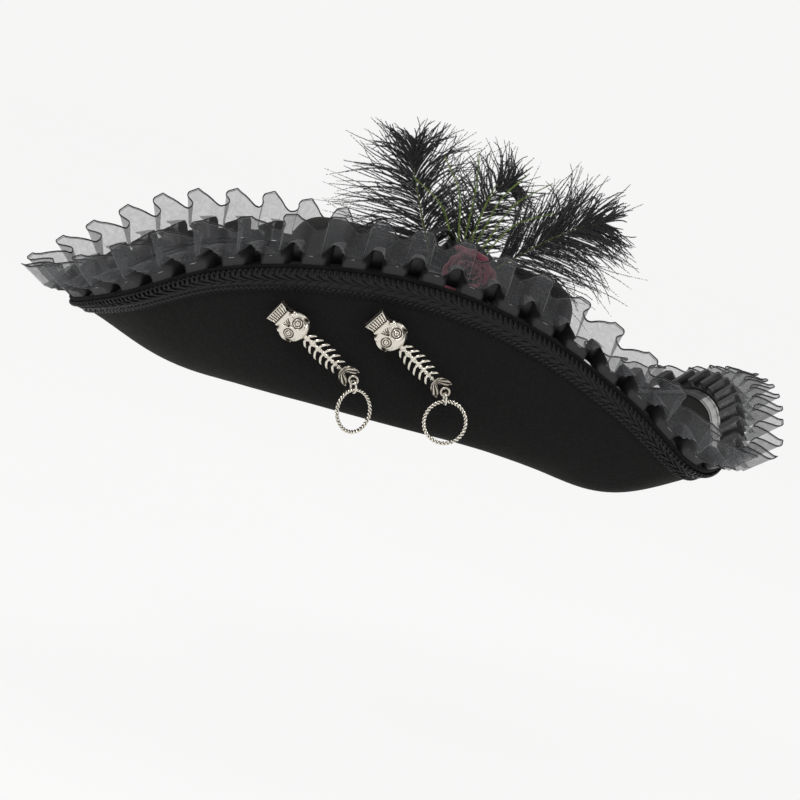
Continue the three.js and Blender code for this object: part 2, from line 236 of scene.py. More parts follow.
def piece(name, geometry, look, body="hat", replaces=(), uv=None, smooth=True):
    """A mesh object that rides on a body and stands for CAD nodes, which it hides."""
    points, faces = geometry
    data = bpy.data.meshes.new(name)
    data.from_pydata(points.tolist(), [], faces if isinstance(faces, list) else faces.tolist())
    data.update()
    if smooth:
        data.shade_smooth()
    if uv is not None:
        corners = np.empty(len(data.loops), np.int32)
        data.loops.foreach_get("vertex_index", corners)
        data.uv_layers.new(name="cloth").data.foreach_set("uv", np.asarray(uv)[corners].ravel())
    data.materials.append(look)
    thing = bpy.data.objects.new(name, data)
    bpy.context.scene.collection.objects.link(thing)
    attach(thing, body)
    if replaces:
        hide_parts(*replaces)
    return thing


def shell(front, back):
    """A closed sheet between two grids of points of one shape (rows, columns, 3)."""
    rows, columns, _ = front.shape
    n = rows * columns
    points = np.concatenate([front.reshape(-1, 3), back.reshape(-1, 3)])
    faces = [grid_faces(rows, columns), grid_faces(rows, columns)[:, ::-1] + n]
    first, last = np.arange(columns), np.arange(columns) + (rows - 1) * columns
    left, right = np.arange(rows) * columns, np.arange(rows) * columns + columns - 1
    for line, flip in ((first, 1), (last, -1), (left, -1), (right, 1)):
        quads = np.stack([line[:-1], line[:-1] + n, line[1:] + n, line[1:]], -1)
        faces.append(quads[:, ::flip])
    return points, np.concatenate(faces)


# ---- materials ----------------------------------------------------------------------------------

WAVES_PER_UNIT = 3.183  # bands that a wave texture of scale 1 makes on one unit of length


class Look:
    """A node material: its shader's own sockets, and textures wired to colour, roughness and bump."""

    def __init__(self, name, color, roughness, **sockets):
        self.material = bpy.data.materials.new(name)
        self.material.use_nodes = True
        self.nodes = self.material.node_tree.nodes
        self.shader = self.nodes["Principled BSDF"]
        self.shader.inputs["Base Color"].default_value = (*color, 1)
        self.shader.inputs["Roughness"].default_value = roughness
        for label, value in sockets.items():
            self.shader.inputs[label.replace("_", " ")].default_value = value
        self.places = self.nodes.new("ShaderNodeTexCoord")

    def link(self, source, target):
        self.material.node_tree.links.new(source, target)

    def texture(self, kind, scale, cloth=False, **sockets):
        """A texture on the object's metres, or on a ribbon's own (along, across) metres."""
        node = self.nodes.new(kind)
        self.link(self.places.outputs["UV" if cloth else "Object"], node.inputs["Vector"])
        node.inputs["Scale"].default_value = scale
        for label, value in sockets.items():
            node.inputs[label.replace("_", " ")].default_value = value
        return node

    def noise(self, size, detail=3.0, **more):
        return self.texture("ShaderNodeTexNoise", 1 / size, Detail=detail, **more).outputs["Fac"]

    def stripes(self, size, direction, distortion=0.0):
        """Bands `size` apart along or across a ribbon, X or Y."""
        node = self.texture("ShaderNodeTexWave", 1 / size / WAVES_PER_UNIT, True, Distortion=distortion)
        node.bands_direction = direction
        return node.outputs["Fac"]

    def ramp(self, source, *stops):
        """Colours or greys by position: (0.0, grey or rgb), ..."""
        node = self.nodes.new("ShaderNodeValToRGB")
        self.link(source, node.inputs["Fac"])
        elements = node.color_ramp.elements
        for position, value in stops[1:-1]:
            elements.new(position)
        for element, (position, value) in zip(elements, stops):
            element.position = position
            rgb = (value,) * 3 if isinstance(value, (int, float)) else value
            element.color = (*rgb, 1)
        return node.outputs["Color"]

    def math(self, operation, first, second):
        node = self.nodes.new("ShaderNodeMath")
        node.operation = operation
        for socket, value in zip(node.inputs, (first, second)):
            if isinstance(value, (int, float)):
                socket.default_value = value
            else:
                self.link(value, socket)
        return node.outputs[0]

    def bump(self, height, distance, strength=1.0):
        node = self.nodes.new("ShaderNodeBump")
        node.inputs["Distance"].default_value = distance
        node.inputs["Strength"].default_value = strength
        self.link(height, node.inputs["Height"])
        if self.shader.inputs["Normal"].is_linked:
            self.link(self.shader.inputs["Normal"].links[0].from_socket, node.inputs["Normal"])
        self.link(node.outputs["Normal"], self.shader.inputs["Normal"])

    def color(self, source):
        self.link(source, self.shader.inputs["Base Color"])

    def roughness(self, source):
        self.link(source, self.shader.inputs["Roughness"])


def felt_look():
    look = Look("black_wool_felt", (0.011, 0.011, 0.012), 0.95, Sheen_Weight=0.11,
                Sheen_Roughness=0.5, Specular_IOR_Level=0.08)
    look.shader.inputs["Sheen Tint"].default_value = (0.55, 0.53, 0.5, 1)
    fibres = look.noise(0.7 * MM, 6.0, Distortion=1.6)
    look.color(look.ramp(fibres, (0.3, (0.004, 0.004, 0.0042)), (0.55, (0.009, 0.0089, 0.0088)),
                         (0.75, (0.024, 0.0235, 0.023))))
    look.bump(look.noise(7 * MM, 4.0), 0.8 * MM, 0.7)
    look.bump(look.noise(1.6 * MM, 5.0, Distortion=1.0), 0.5 * MM, 0.9)
    look.bump(fibres, 0.3 * MM, 1.0)
    return look.material


def satin_look():
    look = Look("black_satin", (0.009, 0.009, 0.0095), 0.4, Anisotropic=0.6, Specular_IOR_Level=0.42,
                Sheen_Weight=0.04)
    look.bump(look.stripes(0.35 * MM, "X"), 0.03 * MM, 0.5)
    look.bump(look.noise(5 * MM, 2.0), 0.5 * MM, 0.4)
    look.roughness(look.ramp(look.noise(2.5 * MM, 4.0), (0.3, 0.28), (0.7, 0.46)))
    return look.material


def shades(color, low, high):
    """Two stops of a ramp, darker and lighter than a colour."""
    return [(position, tuple(factor * c for c in color)) for position, factor in (low, high)]


def organza_look():
    """Sheer weave: a fine thread grid and moire make it more and less see-through."""
    color = (0.075, 0.077, 0.082)
    low, high = 0.22, 0.56
    look = Look("black_organza", color, 0.5, Sheen_Weight=0.5, Sheen_Roughness=0.3, Specular_IOR_Level=0.4)
    along = look.stripes(0.55 * MM, "X", distortion=0.6)
    across = look.stripes(0.55 * MM, "Y", distortion=0.6)
    threads = look.math("MAXIMUM", along, across)
    patches = look.noise(7 * MM, 4.0, Distortion=2.2)
    mixed = look.math("ADD", look.math("MULTIPLY", threads, 0.45), look.math("MULTIPLY", patches, 0.55))
    look.link(look.ramp(mixed, (0.25, low), (0.75, high)), look.shader.inputs["Alpha"])
    specks = look.noise(0.5 * MM, 2.0)
    look.color(look.ramp(specks, *shades(color, (0.35, 0.55), (0.7, 1.5))))
    look.bump(threads, 0.02 * MM, 0.4)
    return look.material


def cord_look(name, color, roughness, twist, sheen=0.1):
    """Thread and cord whose strands are about `twist` wide."""
    look = Look(name, color, roughness, Sheen_Weight=sheen, Sheen_Roughness=0.4, Specular_IOR_Level=0.3)
    strands = look.noise(twist, 3.0, Distortion=2.5)
    look.color(look.ramp(strands, *shades(color, (0.35, 0.5), (0.7, 1.9))))
    look.bump(strands, 0.12 * MM, 0.8)
    return look.material


def grosgrain_look():
    """Ribbed across the ribbon, with dark lines between the ribs."""
    look = Look("black_grosgrain", (0.014, 0.014, 0.016), 0.7, Sheen_Weight=0.25)
    ribs = look.stripes(1.1 * MM, "X")
    look.bump(ribs, 0.25 * MM, 0.9)
    look.color(look.ramp(ribs, (0.1, (0.006, 0.006, 0.007)), (0.9, (0.024, 0.024, 0.027))))
    return look.material


def tape_look():
    look = Look("pale_header_tape", (0.55, 0.55, 0.53), 0.8, Sheen_Weight=0.2)
    weave = look.math("MULTIPLY", look.stripes(0.9 * MM, "X"), look.stripes(0.7 * MM, "Y"))
    look.color(look.ramp(weave, (0.0, (0.36, 0.36, 0.35)), (0.8, (0.66, 0.66, 0.64))))
    look.bump(weave, 0.12 * MM, 0.7)
    return look.material


def feather_look(name, dark, light, sheen):
    """Feather between two tones, with a sheen of its own colour."""
    look = Look(name, dark, 0.62, Sheen_Weight=0.4, Specular_IOR_Level=0.35)
    look.shader.inputs["Sheen Tint"].default_value = (*sheen, 1)
    middle = tuple((a + b) / 2 for a, b in zip(dark, light))
    look.color(look.ramp(look.noise(3 * MM), (0.35, dark), (0.62, middle), (0.8, light)))
    look.bump(look.noise(0.5 * MM, 2.0), 0.1 * MM, 0.5)
    return look.material


def rose_look():
    look = Look("dusky_rose_fabric", (0.15, 0.025, 0.045), 0.72, Sheen_Weight=0.25)
    tone = look.noise(6 * MM, 4.0)
    look.color(look.ramp(tone, (0.3, (0.06, 0.008, 0.016)), (0.55, (0.15, 0.025, 0.045)),
                         (0.8, (0.26, 0.065, 0.09))))
    weave = look.math("MULTIPLY", look.stripes(0.5 * MM, "X"), look.stripes(0.5 * MM, "Y"))
    look.bump(weave, 0.06 * MM, 0.6)
    return look.material


def silver_look():
    """Antique silver: patina in the recesses and pits, painted shade on the lower parts, rubbed tops bright.
    """
    look = Look("antique_silver", (0.66, 0.62, 0.55), 0.28, Metallic=1.0)
    # The "hollow" attribute is patina in the recesses plus, on the charms, painted shade on their lower
    # parts.
    hollow = look.nodes.new("ShaderNodeAttribute")
    hollow.attribute_name = "hollow"
    grime_patina_and_shade = look.math("ADD", hollow.outputs["Fac"], look.math("MULTIPLY", look.noise(1.6 * MM, 5.0), 0.5))
    look.color(look.ramp(grime_patina_and_shade, (0.3, (0.74, 0.7, 0.62)), (0.55, (0.42, 0.38, 0.32)),
                         (0.95, (0.03, 0.026, 0.022))))
    look.roughness(look.ramp(grime_patina_and_shade, (0.25, 0.2), (0.8, 0.6)))
    look.bump(look.noise(0.9 * MM, 3.0), 0.05 * MM, 0.5)
    return look.material


FELT_LOOK = felt_look()
SATIN_LOOK = satin_look()
ORGANZA_LOOK = organza_look()
EDGE_LOOK = cord_look("organza_edge_cord", (0.012, 0.012, 0.013), 0.45, 0.5 * MM)
GIMP_LOOK = cord_look("black_gimp_cord", (0.002, 0.002, 0.0021), 0.3, 0.9 * MM, sheen=0.0)
THREAD_LOOK = cord_look("black_thread", (0.02, 0.02, 0.021), 0.6, 0.4 * MM)
# A light grey thread: a painted highlight along the organza's top edge.
HIGHLIGHT_LINE_LOOK = cord_look("organza_painted_highlight_thread", (0.12, 0.12, 0.125), 0.4, 0.4 * MM)
# Tacking thread, coloured light grey as a painted highlight.
TACK_HIGHLIGHT_LOOK = cord_look("tack_thread_painted_highlight", (0.3, 0.3, 0.31), 0.5, 0.4 * MM)
WIRE_LOOK = cord_look("wrapped_wire", (0.014, 0.014, 0.015), 0.6, 0.6 * MM)
GROSGRAIN_LOOK = grosgrain_look()
TAPE_LOOK = tape_look()
OSTRICH_LOOK = feather_look("black_ostrich", (0.0045, 0.0045, 0.005), (0.03, 0.03, 0.032), (0.6, 0.6, 0.65))
QUILL_LOOK = feather_look("olive_quill", (0.03, 0.045, 0.006), (0.12, 0.16, 0.03), (0.7, 0.8, 0.4))
HERL_LOOK = feather_look("peacock_herl", (0.05, 0.085, 0.01), (0.25, 0.33, 0.05), (0.5, 0.8, 0.3))
ROSE_LOOK = rose_look()
SILVER_LOOK = silver_look()

# ---- felt ---------------------------------------------------------------------------------------


def ripple(angle):
    """Small smooth unevenness, between about -1 and 1."""
    return sum(np.sin(k * angle + 1.7 * k) for k in (3, 7, 11)) / 3.5


def felt_brim():
    """The felt between its two faces, with a rounded edge."""
    columns, rows, round_steps = 420, 34, 4
    distance = np.arange(columns) / columns * PERIMETER
    shares = np.linspace(-0.02, 1, rows)  # from just under the crown's wall to the edge
    turn = np.linspace(pi / 2, -pi / 2, round_steps + 2)[1:-1]
    section = [(s, FELT / 2, 0.0) for s in shares]
    section += [(1, FELT / 2 * sin(a), FELT / 2 * cos(a)) for a in turn]
    section += [(s, -FELT / 2, 0.0) for s in shares[::-1]]
    at = place(distance)
    angle = 2 * pi * distance / PERIMETER
    wave = 0.35 * MM * ripple(angle)
    lines = []
    for share, lift, past in section:
        line = felt_point(at, np.full(columns, share), lift + wave * min(1, 4 * (1 - share)))
        slope = at.out * np.cos(at.flare)[:, None] + UP * np.sin(at.flare)[:, None]
        lines.append(line + past * slope)
    points = np.array(lines)
    return points.reshape(-1, 3), grid_faces(len(section), columns, True, True)


def oval(radius, angle):
    """Points of the head oval of one radius along Y; radius and angle broadcast."""
    return radius * OVAL * np.sin(angle), -radius * np.cos(angle)


def crown_profile(foot, top, shoulder, steps):
    """(radius, z) from the foot to the middle of the top."""
    wall_top = foot - CROWN_TAPER
    low = np.linspace(0.3 * MM, top - shoulder, steps)
    straight = np.clip((low - WALL_UPRIGHT) / (top - shoulder - WALL_UPRIGHT), 0, 1)
    wall = np.c_[foot - CROWN_TAPER * straight, low]
    turn = np.linspace(0, pi / 2, steps)[1:]
    bend = np.c_[wall_top - shoulder * (1 - np.cos(turn)), top - shoulder * (1 - np.sin(turn))]
    flat = np.c_[np.linspace(wall_top - shoulder, 0.4 * MM, steps)[1:], np.full(steps - 1, top)]
    return np.concatenate([wall, bend, flat])


SOFT_ABOVE = 45 * MM  # the crown grows uneven from this height upwards
SOFT_SPAN = 60 * MM
TOP_HOLLOW = 4 * MM
HOLLOW_REACH = 70 * MM


def felt_crown():
    """The crown with a soft hollow in its top and slightly uneven walls."""
    columns, steps = 160, 12
    inside = HEAD_LENGTH / 2 + BAND_THICK + GAP
    outer = crown_profile(inside + FELT, CROWN_HEIGHT, CROWN_SHOULDER, steps)
    inner = crown_profile(inside, CROWN_HEIGHT - FELT, CROWN_SHOULDER - FELT, steps)
    section = np.concatenate([outer[::-1], inner])
    angle = np.arange(columns) / columns * 2 * pi
    uneven = 0.5 * MM * ripple(angle)
    lines = []
    for radius, z in section:
        soft = np.clip((z - SOFT_ABOVE) / SOFT_SPAN, 0, 1)
        x, y = oval(radius - soft * uneven * radius / inside, angle)
        middle = 1 - np.clip(np.hypot(x, y) / HOLLOW_REACH, 0, 1) ** 2
        lines.append(np.c_[x, y, z - TOP_HOLLOW * middle * soft])
    return np.concatenate(lines), capped_grid(len(section), columns)


LAP_TURN = 0.12  # radians by which a band's two ends lap


def oval_band(inside, thick, low, high, rows, columns, wave=0.0):
    """A closed ribbon round the crown, with its two ends lapped at the back, and its cloth UVs."""
    angle = np.linspace(0, 2 * pi, columns) + pi
    z = np.linspace(low, high, rows)
    a, h = np.meshgrid(angle, z)
    lap = np.clip((angle - angle[-1] + LAP_TURN) / LAP_TURN, 0, 1) * thick
    swell = wave * np.sin(pi * (h - low) / (high - low)) * (1 + 0.5 * ripple(a))
    grids = []
    for depth in (thick, 0):
        x, y = oval(inside + depth + swell + lap[None, :], a)
        grids.append(np.stack([x, y, h], -1))
    around = a * (inside + thick / 2) * (1 + OVAL) / 2
    return shell(*grids), sheet_uv(around, h)


def band_stitches(inside, z, length, gap, radius):
    """Running stitches round the head oval."""
    mean = inside * (1 + OVAL) / 2
    count = int(2 * pi * mean / (length + gap))
    start = np.arange(count) * 2 * pi / count
    angle = start[:, None] + np.linspace(0, length / mean, 5)[None, :]
    bow = radius * np.sin(np.linspace(0, pi, 5))[None, :]
    x, y = oval(inside + bow, angle)
    return tubes(np.stack([x, y, np.full_like(x, z)], -1), radius, 5)


brim = piece("felt_brim_shell", felt_brim(), FELT_LOOK, replaces=["felt_brim"])
crown = piece("felt_crown_shell", felt_crown(), FELT_LOOK, replaces=["felt_crown"])

INSIDE = HEAD_LENGTH / 2
geometry, uv = oval_band(INSIDE, BAND_THICK, 0, SWEATBAND_HEIGHT, 8, 220)
sweatband = piece("grosgrain_sweatband", geometry, GROSGRAIN_LOOK, replaces=["sweatband"],
                  uv=uv)
sweat_stitches = band_stitches(INSIDE - 0.05 * MM, z=3 * MM, length=3 * MM, gap=1.6 * MM, radius=0.22 * MM)
sweat_seam = piece("sweatband_stitches", sweat_stitches, THREAD_LOOK)
OUTSIDE = INSIDE + BAND_THICK + GAP + FELT + GAP
geometry, uv = oval_band(OUTSIDE, 0.8 * MM, *CROWN_BAND, 12, 220, wave=0.8 * MM)
crown_band = piece("satin_crown_band", geometry, SATIN_LOOK, replaces=["crown_band"], uv=uv)

# ---- gimp braid ---------------------------------------------------------------------------------

COIL_TURNS = 364
CHEVRON_COUNT = 182
COIL_PITCH = PERIMETER / COIL_TURNS
CHEVRON_PITCH = PERIMETER / CHEVRON_COUNT


def braid_point(distance, across, height):
    """A point of the braid: across goes down from its upper edge, height up from the felt."""
    return on_felt(distance, BRAID_BELOW + across, FELT / 2 + 0.15 * MM + height)


def coil(across, height, half_width, half_height, cord, slant):
    """A cord wound round and round along the braid."""
    steps = 12
    angle = np.arange(COIL_TURNS * steps + 1) * 2 * pi / steps
    distance = angle / (2 * pi) * COIL_PITCH + slant * np.cos(angle)
    path = braid_point(distance, across + half_width * np.cos(angle), height + half_height * np.sin(angle))
    return tubes(path[None], cord)


CHEVRON_SLANT = 8.6 * MM  # how far along the braid a cord runs on its way to the middle


def chevrons(start, end, low, high, cord, shift):
    """Curved cords from one side of the braid to its middle line."""
    along = np.linspace(0, 1, 9)
    distance = np.arange(CHEVRON_COUNT)[:, None] * CHEVRON_PITCH + shift + CHEVRON_SLANT * along**1.5
    across = np.broadcast_to(start + (end - start) * np.sin(along * pi / 2), distance.shape)
    height = np.broadcast_to(low + (high - low) * np.sin(along * pi) ** 0.8, distance.shape)
    return tubes(braid_point(distance, across, height), cord)


def picots(across, reach, cord):
    """Small loops that stand out from the braid's lower edge."""
    turn = np.linspace(-0.25 * pi, 1.25 * pi, 9)
    distance = np.arange(COIL_TURNS)[:, None] * COIL_PITCH + 1.25 * MM * np.cos(turn)
    down = np.broadcast_to(across + reach * np.sin(turn), distance.shape)
    return tubes(braid_point(distance, down, 0.45 * MM), cord, 5)


def braid_backing():
    """The woven base that the cords are sewn to."""
    distance, across = np.meshgrid(np.linspace(0, PERIMETER, 600), np.linspace(1.2 * MM, 13.4 * MM, 7))
    return shell(braid_point(distance, across, 0.7 * MM), braid_point(distance, across, 0.05 * MM))


# across, height, half width, half height, cord radius, slant
COILS = np.array([
    [2.3, 1.35, 1.75, 0.95, 0.72, 0.9],
    [12.3, 1.0, 1.15, 0.7, 0.5, -0.7],
]) * MM
# start, end, low, high, cord radius, shift
CHEVRONS = np.array([
    [4.2, 7.7, 0.7, 1.5, 0.5, 0],
    [4.4, 7.9, 0.7, 1.55, 0.45, 1.15],
    [11.6, 8.1, 0.7, 1.4, 0.5, 0.3],
    [11.4, 8.0, 0.7, 1.45, 0.45, 1.45],
]) * MM

piece("gimp_braid_coils", joined(*(coil(*row) for row in COILS)), GIMP_LOOK, replaces=["gimp_braid"])
loops = picots(13.4 * MM, 1.1 * MM, 0.36 * MM)
piece("gimp_braid_herringbone", joined(*(chevrons(*row) for row in CHEVRONS), loops), GIMP_LOOK)
piece("gimp_braid_backing", braid_backing(), GIMP_LOOK)

# ---- box-pleated ruffle -------------------------------------------------------------------------

PLEATS = 51
PITCH = PERIMETER / PLEATS
FIRST_PLEAT = 29.2 * MM  # from the front point to the middle of a tunnel
PLEAT_STEPS = 28
ARCH = 15 * MM  # height of the dark tunnel at the foot of each pleat
TAB_DROP = 3.6 * MM  # how much lower the satin's top is on the flat tabs
RUFFLE_OVERLAP = 0.8 * MM  # how far each ribbon starts below what it is sewn to

TUNNEL_DEPTH = 9 * MM
BARREL_LIFT = 7.5 * MM
TAB_LEAN = 5 * MM  # how far the flat tabs lean in at their tips
NECK_SPREAD = 1.6 * MM  # how far a barrel bulges to its sides above the tunnel
FOOT_SQUEEZE = 1.2 * MM  # how far a tunnel narrows at its foot
RIGHT_SWAY = 5 * MM  # on the wearer's right side the barrels lean over by this at their tips
RIGHT_SLANT = 12 * MM  # and their tips slant by this
CREST_RISE = 3 * MM
DIP_SIDE = 6.5 * MM  # how far a flat tab's tip sinks at its sides
DIP_MIDDLE = 5.5 * MM  # and how much more in its middle

rng = np.random.default_rng(7)
CREST_LIFT = rng.uniform(0.85, 1.15, PLEATS)
CREST_TILT = rng.uniform(-1.0, 1.0, PLEATS) * 1.2 * MM
FLAT_LEAN = rng.uniform(0.75, 1.25, PLEATS)


def smooth_step(x):
    x = np.clip(x, 0, 1)
    return x * x * (3 - 2 * x)


def pleat_phase(distance):
    """The pleat's number and the place in it: 0 in the middle of its tunnel, half on a flat tab."""
    turn = (distance - FIRST_PLEAT) / PITCH + 0.5
    whole = np.floor(turn)
    return whole.astype(int) % PLEATS, turn - whole - 0.5


def pleat(distance, past):
    """Where a point at (distance, past) of the ribbon goes: its own distance, past and lift.
    At its foot each pleat is a tunnel that folds in; above, it springs out as a round barrel.
    off is how far the point is from the tunnel's middle, as a share of a pleat."""
    index, phase = pleat_phase(distance)
    side = np.sign(phase)
    off = np.abs(phase)
    crest_lift, tilt, lean = CREST_LIFT[index], CREST_TILT[index], FLAT_LEAN[index]
    barrel = smooth_step((0.33 - off) / 0.17)
    tunnel = smooth_step((0.25 - off) / 0.09)
    arch = ARCH * np.sqrt(np.clip(1 - (off / 0.25) ** 3, 0, 1))
    above = smooth_step((past - arch + 1.5 * MM) / (5 * MM))
    spring = smooth_step((past - 4 * MM) / (10 * MM))
    tip = np.clip(past / RUFFLE_WIDTH, 0, 1)
    lift = -TUNNEL_DEPTH * tunnel * (1 - above)
    lift += BARREL_LIFT * barrel * spring * above * crest_lift
    lift -= TAB_LEAN * lean * (1 - barrel) * smooth_step((tip - 0.3) / 0.75)
    neck = np.exp(-((off - 0.24) / 0.06) ** 2)
    shift = side * neck * NECK_SPREAD * spring * above * (1 - 0.8 * tip)
    shift -= side * neck * FOOT_SQUEEZE * (1 - above)
    right_side = np.clip(-np.sin(2 * pi * distance / PERIMETER), 0, 1)
    shift += (tilt - RIGHT_SWAY * right_side) * tip * barrel
    crest = smooth_step((0.32 - off) / 0.2)
    hollow = 1 - np.clip((0.5 - off) / 0.25, 0, 1) ** 2
    rise = CREST_RISE * crest - (DIP_SIDE + DIP_MIDDLE * hollow) * (1 - crest)
    rise -= RIGHT_SLANT * phase * right_side * crest
    return distance + shift, past + rise * tip**1.5, lift


def ruffle_grid(foot, tip, rows):
    """Grid of ribbon points from `foot` to `tip`, which are lengths for each column."""
    line = np.linspace(0, PERIMETER, PLEATS * PLEAT_STEPS + 1)
    distance, share = np.meshgrid(line, np.linspace(0, 1, rows))
    past = foot(distance) * (1 - share) + tip(distance) * share
    points = past_edge(*pleat(distance, past))
    steps = np.linalg.norm(np.diff(points, axis=1), axis=2)
    around = np.r_[0, np.cumsum(steps.mean(0))]
    return points, sheet_uv(np.tile(around, (rows, 1)), past, sides=1)


def satin_top(distance):
    """The satin ends lower on the flat tabs than over the tunnels."""
    off = np.abs(pleat_phase(distance)[1])
    return SATIN_WIDTH - TAB_DROP * smooth_step((off - 0.2) / 0.1)


def flat_line(value):
    return lambda distance: np.full_like(distance, value)


def open_grid(points):
    """A single layer of cloth from a grid of points."""
    return points.reshape(-1, 3), grid_faces(*points.shape[:2])


satin_points, satin_uv = ruffle_grid(flat_line(-RUFFLE_OVERLAP), satin_top, 12)
satin = piece("satin_ruffle_base", open_grid(satin_points), SATIN_LOOK, replaces=["satin_ruffle"],
              uv=satin_uv)
organza_points, organza_uv = ruffle_grid(lambda d: satin_top(d) - RUFFLE_OVERLAP, flat_line(RUFFLE_WIDTH), 18)
organza = piece("organza_ruffle_frill", open_grid(organza_points), ORGANZA_LOOK,
                replaces=["organza_ruffle"], uv=organza_uv)
# A light grey thread just below the edge cord, a painted highlight along each fold's edge.
highlight_line = 0.3 * organza_points[-1] + 0.7 * organza_points[-2]
highlight_line_thread = piece("organza_highlight_line", tubes(highlight_line[None], 0.2 * MM, 4), HIGHLIGHT_LINE_LOOK)
edge_cord = piece("organza_edge", tubes(organza_points[-1][None], 0.42 * MM, 5), EDGE_LOOK)
satin_cord = piece("satin_edge", tubes(satin_points[-1][None], 0.2 * MM, 5), EDGE_LOOK)


def tacks():
    """A short thread bar holds the organza down at the top of each flat tab; its light grey is a painted
    highlight.
    """
    middle = FIRST_PLEAT + (np.arange(PLEATS) + 0.5 + rng.uniform(-0.06, 0.06, PLEATS)) * PITCH
    half = rng.uniform(0.8, 2.4, PLEATS)[:, None] * MM
    distance = middle[:, None] + half * np.linspace(-1, 1, 5)[None, :]
    past = np.full_like(distance, SATIN_WIDTH - 4.2 * MM)
    d, p, lift = pleat(distance, past)
    lift = lift + 0.35 * MM + 0.15 * MM * np.cos(np.linspace(-pi / 2, pi / 2, 5))
    return tubes(past_edge(d, p, lift), 0.2 * MM, 5)


tack_highlight_bars = piece("ruffle_tack_highlights", tacks(), TACK_HIGHLIGHT_LOOK)

# ---- inner side of the brim ---------------------------------------------------------------------

PALE_TAPE = (0.33 * PERIMETER, 0.52 * PERIMETER)  # across the back, where two tapes are joined


def header_tape(start, end):
    line = np.linspace(start, end, int((end - start) / (1.8 * MM)))
    distance, below = np.meshgrid(line, np.linspace(3.5 * MM, 10.5 * MM, 5))
    ease = 0.25 * MM * (1 + ripple(distance * 40 * pi / PERIMETER))
    near = -(FELT / 2 + 0.15 * MM)
    tape = shell(on_felt(distance, below, near - 0.5 * MM - ease), on_felt(distance, below, near))
    return tape, sheet_uv(distance, below)


def tape_stitches(below):
    count = int(PERIMETER / (4.2 * MM))
    distance = np.arange(count)[:, None] * PERIMETER / count + np.linspace(0, 2.8 * MM, 5)[None, :]
    lift = -(FELT / 2 + 1.15 * MM) - 0.2 * MM * np.sin(np.linspace(0, pi, 5))
    return tubes(on_felt(distance, below, np.broadcast_to(lift, distance.shape)), 0.26 * MM, 5)


def wrapped_wire():
    """The brim wire inside its cotton wrapping, which turns round it."""
    below, lift, radius, turns = 1.6 * MM, -(FELT / 2 + 0.95 * MM), 0.72 * MM, 420
    core = on_felt(np.linspace(0, PERIMETER, 2000), below, lift)
    angle = np.linspace(0, 2 * pi * turns, turns * 9)
    path = np.linspace(0, PERIMETER, turns * 9)
    wrap = on_felt(path, below + radius * np.cos(angle), lift + radius * np.sin(angle))
    return joined(tubes(core[None], radius, 8), tubes(wrap[None], 0.22 * MM, 4))


geometry, uv = header_tape(*PALE_TAPE)
piece("header_tape_back", geometry, TAPE_LOOK, replaces=["header_tape"], uv=uv)
geometry, uv = header_tape(PALE_TAPE[1] - 3 * MM, PERIMETER + PALE_TAPE[0] + 3 * MM)
piece("header_tape_sides", geometry, GROSGRAIN_LOOK, uv=uv)
piece("header_tape_stitches", joined(tape_stitches(4.8 * MM), tape_stitches(9.2 * MM)), THREAD_LOOK)
piece("brim_wire_wrapped", wrapped_wire(), WIRE_LOOK, replaces=["brim_wire"])

# ---- cockade: pad, pleated rosette and rolled rose ----------------------------------------------

COCKADE = Matrix.Translation((81 * MM, -1 * MM, 95 * MM)) @ Matrix.Rotation(radians(68), 4, "Y")


def moved(points, matrix):
    matrix = np.array(matrix)
    return points @ matrix[:3, :3].T + matrix[:3, 3]


def cockade_pad():
    """A felt disc with a rounded rim."""
    columns = 64
    turn = np.linspace(0, 2 * pi, columns, endpoint=False)
    radius, half, middle, center = 19 * MM, 0.8 * MM, 1.4 * MM, 0.3 * MM
    rim = [(radius - half + half * cos(a), half * sin(a)) for a in np.linspace(-pi / 2, pi / 2, 7)]
    section = [(center, -half), *rim, (center, half)]
    points = [np.c_[r * np.cos(turn), r * np.sin(turn), np.full(columns, middle + z)] for r, z in section]
    return moved(np.concatenate(points), COCKADE), capped_grid(len(section), columns)


def rosette(inner, outer, low, pleats, height):
    """A ribbon knife-pleated round a centre."""
    turn, share = np.meshgrid(np.linspace(0, 2 * pi, pleats * 12 + 1), np.linspace(0, 1, 9))
    phase = (turn * pleats / (2 * pi)) % 1
    saw = np.where(phase < 0.75, phase / 0.75, (1 - phase) / 0.25)
    radius = inner + (outer - inner) * share + 0.9 * MM * np.sin(9 * turn) * share
    lap = (saw - 0.5) * 0.9 * 2 * pi / pleats * (1 - 0.35 * share)
    rise = low + height * saw * (0.35 + 0.65 * share) + 1.2 * MM * np.sin(5 * turn + 1) * share**2
    x, y = radius * np.cos(turn + lap), radius * np.sin(turn + lap)
    front = moved(np.stack([x, y, rise + 0.25 * MM], -1), COCKADE)
    back = moved(np.stack([x, y, rise], -1), COCKADE)
    return shell(front, back), sheet_uv(turn * outer, radius), front


def rolled_rose():
    """A strip of fabric gathered along one edge and rolled up, its free edge turned out."""
    turns = 4.6
    angle, share = np.meshgrid(np.linspace(0, 2 * pi * turns, 420), np.linspace(0, 1, 12))
    grown = angle / (2 * pi * turns)
    petals = 0.5 + 0.5 * np.cos(angle * 2.35 + 0.8 * np.sin(angle))
    foot = 1.2 * MM + 11.5 * MM * grown
    flare = (1.0 + 6.8 * grown) * MM * share**2.2 * (0.55 + 0.6 * petals)
    radius = foot + flare + 0.5 * MM * np.sin(11 * angle) * share
    height = (14.2 - 7.0 * grown + 1.6 * petals * share) * MM
    rise = 6.9 * MM + height * np.sin(share * pi * (0.5 + 0.1 * grown))
    x, y = radius * np.cos(angle), radius * np.sin(angle)
    side = unit(np.stack([np.cos(angle), np.sin(angle), -0.6 * share], -1))
    middle = np.stack([x, y, rise], -1)
    sides = [moved(middle + half * side, COCKADE) for half in (0.2 * MM, -0.2 * MM)]
    return shell(*sides), sheet_uv(angle * 8 * MM, share * 16 * MM), sides[0]


